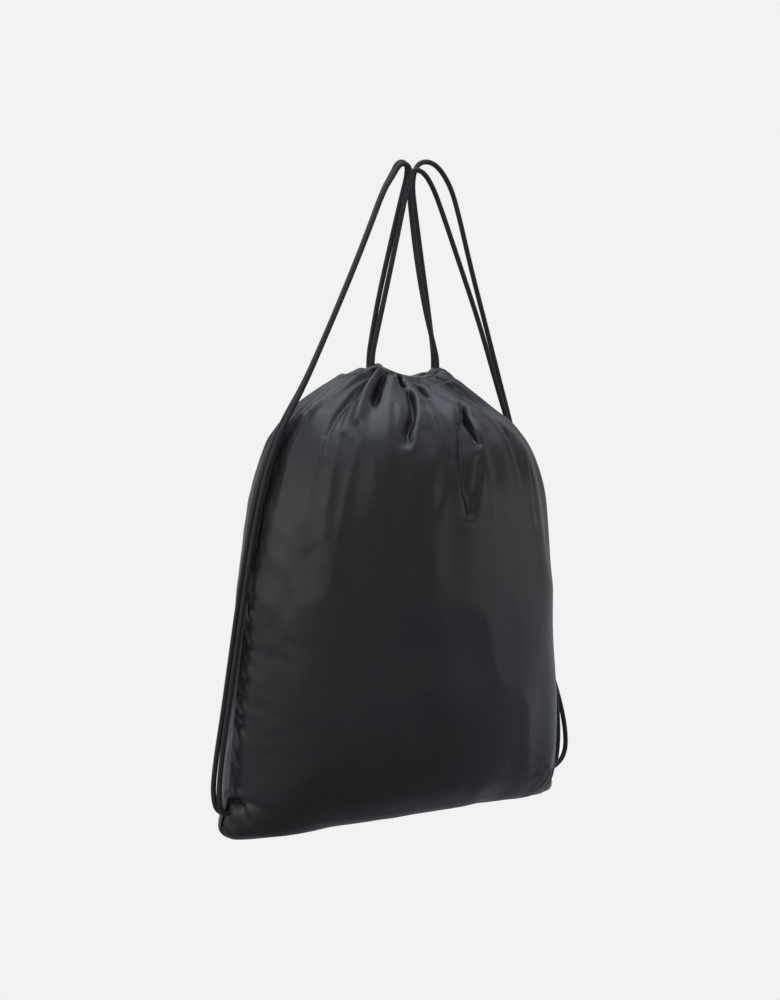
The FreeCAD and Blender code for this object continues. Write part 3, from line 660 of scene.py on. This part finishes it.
# Puckers beside the side seams: height, size along and across the seam, shift of their noise,
# its seed, and how far from the seam they lie and spread.
SEAM_PUCKERS = (
    (0.7, 8.0, 40, (2, 50), 6, 9, 10),
    (0.6, 13.0, 60, (31, 17), 16, 24, 20),
    (0.5, 4.2, 22, (22, 5), 14, 6, 6),
)
# Where the cords pull at the bottom corners: place across and up, reach across, through and up,
# and how far the cloth goes across and up.
CORNER_PULLS = (
    (-158.0, 4.0, 16.0, 22.0, 14.0, -7.0, -2.5),
    (155.0, 36.0, 34.0, 52.0, 28.0, 5.5, 0.0),
    (160.0, 4.0, 14.0, 24.0, 11.0, 9.0, -5.0),
)


def gathers(flat_x, run, humps, grip, seed):
    """Pleats, humps and ridges that run down from the pulled hem."""
    wander = patches(flat_x, run, 60, 90, (9, 5), seed) * 1.2
    pleat = np.sin(2 * math.pi * (flat_x / PLEAT + wander))
    uneven = 0.6 + 0.7 * patches(flat_x, run, 30, 300, (3, 2), seed + 1)
    lift = 1.5 * pleat * uneven * grip * (1 - 0.75 * smooth_step(run, 478, 494))
    # the humps between the main folds
    for place, rise in humps:
        wide = 15.0 + 9.0 * value_noise(flat_x * 0 + place * 7, run / 60, seed + 8)
        fall = smooth_step(run, 372, 420) * (1 - smooth_step(run, 478, 500))
        lift += rise * bell(flat_x, HALF_CLOTH * place, wide) * fall
    # long soft waves and sharper ridges
    wave = patches(flat_x, run, 19, 150, (20, 7), seed + 2)
    lift += 2.4 * wave * smooth_step(run, 250, 420) * (1 - smooth_step(run, 470, 490))
    ridge = patches(flat_x, run, 17, 230, (4, 3), seed + 12)
    fall = smooth_step(run, 210, 360) * (1 - smooth_step(run, 440, 470))
    lift -= 2.8 * np.sqrt(ridge ** 2 + 0.0015) * fall
    return lift


def dents(flat_x, run, seed):
    """Broad dents and facets where the contents press unevenly."""
    broad = 1.5 * patches(flat_x, run, 62, 90, (30, 30), seed + 3)
    facet = patches(flat_x + 0.176 * run, run, 44, 70, (12, 14), seed + 9)
    small = 0.30 * patches(flat_x, run, 24, 40, (40, 40), seed + 4)
    return (broad - 2.0 * np.sqrt(facet ** 2 + 0.003) + small) * (1 - smooth_step(run, 380, 460))


def seam_puckers(inset, run, grip, seed):
    """Short slanted puckers beside the side seams, their stitches, and the seams' own groove."""
    slant = run + 0.55 * inset
    low_body = smooth_step(run, 45, 90) * (1 - smooth_step(run, 400, 450))
    lift = 0.35 * np.sin(2 * math.pi * run / STITCH) * bell(inset, 0.0, 4.0) * low_body
    for height, wide, tall, shift, number, place, spread in SEAM_PUCKERS:
        pucker = patches(slant, inset, wide, tall, shift, seed + number)
        lift += height * pucker * bell(inset, place, spread) * low_body
    return lift - 1.3 * bell(inset, 0.0, 2.2) * (1 - grip)


def steady_rim(points, share, run, height):
    """The rolled edge of the hem, too stiff to follow the small folds."""
    columns = points.shape[1]
    level = np.minimum(points[:, :, 2], height + 0.6)
    points[:, :, 2] += (level - points[:, :, 2]) * smooth_step(run, 466, 474)
    padded = np.pad(points, ((0, 0), (RIM_COLUMNS, RIM_COLUMNS), (0, 0)), mode="reflect",
                    reflect_type="odd")
    window = range(2 * RIM_COLUMNS + 1)
    eased = sum(padded[:, k:k + columns] for k in window) / len(window)
    stiff = smooth_step(run, 481, 489) * smooth_step(1 - np.abs(share), 0.0, 0.05)
    stiff = stiff[:, :, None]
    return points * (1 - stiff) + eased * stiff


def hang(points, side, share, run, height):
    """The larger moves of the hung bag: mouth, side slits, bottom corners, fullness."""
    # the middle of the mouth sags between the cords
    sag = 11.0 * (1 - np.clip(np.abs(points[:, :, 0]) / 36, 0, 1) ** 2)
    points[:, :, 2] -= sag * smooth_step(height, 345, 387)
    # the side slits gape where the cords come out: in, apart and down
    gape = smooth_step(np.abs(share), 0.62, 1.0) * smooth_step(run, 466, 488)
    inwards, apart, lower = (7.0, 4.5, 0.0) if side < 0 else (1.0, 4.0, 8.0)
    points[:, :, 0] -= inwards * gape * np.sign(share)
    points[:, :, 1] += apart * side * gape
    points[:, :, 2] -= lower * gape
    # the bottom corners hang a little lower than the middle
    droop = 4.0 * smooth_step(np.abs(points[:, :, 0]), 60, 150)
    points[:, :, 2] -= droop * (1 - smooth_step(height, 0, 40))
    for corner_x, corner_z, wide, thick, tall, out, rise in CORNER_PULLS:
        gap = ((points[:, :, 0] - corner_x) / wide) ** 2 + (points[:, :, 1] / thick) ** 2
        gap += ((points[:, :, 2] - corner_z) / tall) ** 2
        points[:, :, 0] += out * np.exp(-gap)
        points[:, :, 2] += rise * np.exp(-gap)
    # a fuller left back and right side, and a lower right shoulder
    if side > 0:
        full = bell(height, 285, 70)
        points[:, :, 1] += 4.0 * full * smooth_step(-points[:, :, 0], -20, 60)
    full = smooth_step(height, 30, 80) * (1 - smooth_step(height, 290, 340))
    points[:, :, 0] += 2.0 * smooth_step(points[:, :, 0], 60, 130) * full
    shoulder = bell(height, 358, 20)
    points[:, :, 2] -= 4.5 * shoulder * smooth_step(points[:, :, 0], 15, 50)
    return points


def drape(grid, along, side, folds, humps):
    """The panel with its gathers, folds, puckers and dents."""
    rows, columns, _ = grid.shape
    normals = outward(grid, side)
    share = np.linspace(-1, 1, columns)[None, :] + np.zeros((rows, 1))
    run = along[:, None] + np.zeros((1, columns))
    height = grid[:, :, 2]
    seed = 11 if side < 0 else 23
    flat_x = share * HALF_CLOTH                 # where the point was on the flat cloth
    inset = (1 - np.abs(share)) * HALF_CLOTH
    grip = smooth_step(run, 425, 485)           # how much the pulled hem bunches the cloth

    lift = gathers(flat_x, run, humps, grip, seed)
    lift += dents(flat_x, run, seed)
    lift += seam_puckers(inset, run, grip, seed)
    # the sewn line of the casing draws the cloth in
    sewn = bell(run, HEM_LINE, 1.8)
    lift -= (0.55 + 0.25 * np.sin(math.pi * flat_x / STITCH)) * sewn
    # the underside is flatter, and the panels meet on the side seams
    lift *= np.where(run < SECTIONS[0][2], 0.3, 1.0)
    lift *= smooth_step(1 - np.abs(share), 0.0, 0.03)

    points = (grid + normals * lift[:, :, None]).reshape(-1, 3)
    firm = (1 - 0.95 * smooth_step(run, 478, 491)).ravel()
    points = add_folds(points, normals.reshape(-1, 3), grid, along, folds, firm)
    points = steady_rim(points.reshape(rows, columns, 3), share, run, height)
    return hang(points, side, share, run, height)


def random_folds(seed, count, shortest, longest):
    """Folds that run down from the mouth at uneven places."""
    draw = np.random.default_rng(seed)
    folds = []
    top, spread = 470.0, 0.86        # the run they start at, and how far they spread each way
    for number in range(count):
        u = -spread + 2 * spread * (number + 0.5 + draw.uniform(-0.3, 0.3)) / count
        length = draw.uniform(shortest, longest)
        lean = draw.uniform(-0.10, 0.10)
        line = [(u, top), (u + lean * 0.5, top - length * 0.35),
                (u + lean * 0.4 + draw.uniform(-0.03, 0.03), top - length * 0.7),
                (u + lean, top - length)]
        deep = draw.uniform(3.0, 7.0)
        folds.append(("fold_%d" % number, line, draw.uniform(2.2, 3.4), draw.uniform(3.0, 5.5),
                      deep, deep * draw.uniform(0.15, 0.5), 0.4, draw.uniform(0.1, 0.5)))
    return folds


BACK_FOLDS = random_folds(5, 11, 35.0, 130.0)


def panel_mesh(name, side, folds, humps):
    """One panel's cloth with its flat place as UVs, in metres."""
    grid, along = panel_grid(side)
    points = drape(grid, along, side, folds, humps)
    rows, columns, _ = points.shape
    flat = points.reshape(-1, 3).copy()
    flat[:, 2] += BAG_FOOT
    flat *= MM
    index = np.arange(rows * columns).reshape(rows, columns)
    quads = np.stack([index[:-1, :-1], index[:-1, 1:], index[1:, 1:], index[1:, :-1]], -1)
    quads = quads.reshape(-1, 4)
    if side > 0:
        quads = quads[:, ::-1]
    mesh = bpy.data.meshes.new(name)
    mesh.from_pydata(flat.tolist(), [], quads.tolist())
    mesh.update()
    sheet = bpy.data.objects.new(name, mesh)
    bpy.context.collection.objects.link(sheet)
    layer = mesh.uv_layers.new(name="cloth")
    share = np.linspace(-1, 1, columns)
    uv = np.zeros((rows, columns, 2))
    uv[:, :, 0] = share[None, :] * HALF_CLOTH * MM
    uv[:, :, 1] = along[:, None] * MM
    uv = uv.reshape(-1, 2)
    loops = np.zeros(len(mesh.loops), dtype=np.int32)
    mesh.loops.foreach_get("vertex_index", loops)
    layer.data.foreach_set("uv", uv[loops].ravel())
    mesh.shade_smooth()
    mesh.materials.append(NYLON)
    return sheet


for name, side, folds, humps in (("front", -1, FRONT_FOLDS, FRONT_HUMPS),
                                 ("back", 1, BACK_FOLDS, BACK_HUMPS)):
    sheet = panel_mesh(name + "_cloth", side, folds, humps)
    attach(sheet, "root")
    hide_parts(name + "_panel", name + "_casing")
for node in ("left_side_seam", "right_side_seam", "bottom_seam", "left_knot", "right_knot"):
    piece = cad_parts[node]
    piece.data.materials.clear()
    piece.data.materials.append(THREAD)

# ---------------------------------------------------------------- studio
PALE = (0.887, 0.887, 0.887, 1.0)          # what the camera sees behind the bag
ROOM_LOW = (0.340, 0.338, 0.345, 1.0)      # what the cloth reflects: the room round it,
ROOM_HIGH = (0.64, 0.69, 0.80, 1.0)        # and overhead
OVERHEAD_BAND = (0.50, 0.64)               # sines of the heights between which it changes
FLOOR_Z = -0.911
FLOOR_RADIUS = 6.0
FLOOR_PALE = 0.8                           # as the camera sees it
FLOOR_PAINTED_SHADE = (0.6, 2.2, 0.2, 0.58)        # near, far, and how pale the cloth sees it there: painted shade, darker near the bag
SHADOW_FADE = (0.12, 0.36, 0.8, 1.0)       # near, far, and how far the shadow is faded there


def area_light(name, place, aim, width, height, power, colour):
    """A rectangular light at a place, facing its aim."""
    bpy.ops.object.light_add(type="AREA", location=place)
    light = bpy.context.object
    light.name = name
    light.data.shape = "RECTANGLE"
    light.data.size = width
    light.data.size_y = height
    light.data.energy = power
    light.data.color = colour
    light.rotation_euler = (Vector(aim) - Vector(place)).to_track_quat("-Z", "Y").to_euler()
    return light


area_light("top_light", (-0.25, 0.2, 1.1), (0.0, 0.0, -0.25), 1.6, 1.2, 8.6, (0.84, 0.91, 1.0))
area_light("left_light", (-1.5, -0.05, 0.12), (0.0, 0.0, -0.35), 2.1, 0.9, 4.5, (1.0, 0.985, 1.0))
area_light("right_light", (1.3, -1.3, -0.32), (0.0, 0.0, -0.4), 2.0, 0.5, 1.5, (0.98, 1.0, 0.98))

world = bpy.data.worlds.new("studio")
bpy.context.scene.world = world
world.use_nodes = True
tree = world.node_tree
tree.nodes.clear()
output = tree.nodes.new("ShaderNodeOutputWorld")
shown = tree.nodes.new("ShaderNodeBackground")
shown.inputs["Color"].default_value = PALE
room = tree.nodes.new("ShaderNodeBackground")
direction = add_node(tree, "ShaderNodeTexCoord")
way_up = add_node(tree, "ShaderNodeSeparateXYZ")
tree.links.new(direction.outputs["Generated"], way_up.inputs[0])
overhead = smooth_range(tree, way_up.outputs[2], *OVERHEAD_BAND)
tree.links.new(mix_colour(tree, overhead, ROOM_LOW, ROOM_HIGH), room.inputs["Color"])
path = tree.nodes.new("ShaderNodeLightPath")
mix = tree.nodes.new("ShaderNodeMixShader")
tree.links.new(path.outputs["Is Camera Ray"], mix.inputs[0])
tree.links.new(room.outputs[0], mix.inputs[1])
tree.links.new(shown.outputs[0], mix.inputs[2])
tree.links.new(mix.outputs[0], output.inputs[0])

bpy.ops.mesh.primitive_circle_add(vertices=96, radius=FLOOR_RADIUS, fill_type="NGON",
                                  location=(0, 0, FLOOR_Z))
floor = bpy.context.object
floor.name = "floor"
bpy.ops.object.transform_apply(location=True, rotation=True, scale=True)
material, tree, shader = new_material("pale_floor")
shader.inputs["Roughness"].default_value = 0.9
shader.inputs["Specular IOR Level"].default_value = 0.1
path = add_node(tree, "ShaderNodeLightPath")
coord = add_node(tree, "ShaderNodeTexCoord")
distance = add_node(tree, "ShaderNodeVectorMath", operation="LENGTH")
tree.links.new(coord.outputs["Object"], distance.inputs[0])
# painted shade in the floor's colour for all but camera rays: dark near the bag and pale far away,
# so that its reflection meets the room's without an edge
shade = smooth_range(tree, distance.outputs["Value"], *FLOOR_PAINTED_SHADE)
shade = math_node(tree, "MAXIMUM", shade, path.outputs["Is Camera Ray"])
tree.links.new(math_node(tree, "MINIMUM", shade, FLOOR_PALE), shader.inputs["Base Color"])
fade = smooth_range(tree, distance.outputs["Value"], *SHADOW_FADE)
glow = add_node(tree, "ShaderNodeEmission")
glow.inputs["Color"].default_value = PALE
seen = math_node(tree, "MULTIPLY", fade, path.outputs["Is Camera Ray"])
mix = add_node(tree, "ShaderNodeMixShader")
tree.links.new(seen, mix.inputs[0])
tree.links.new(shader.outputs[0], mix.inputs[1])
tree.links.new(glow.outputs[0], mix.inputs[2])
tree.links.new(mix.outputs[0], tree.nodes["Material Output"].inputs["Surface"])
floor.data.materials.append(material)
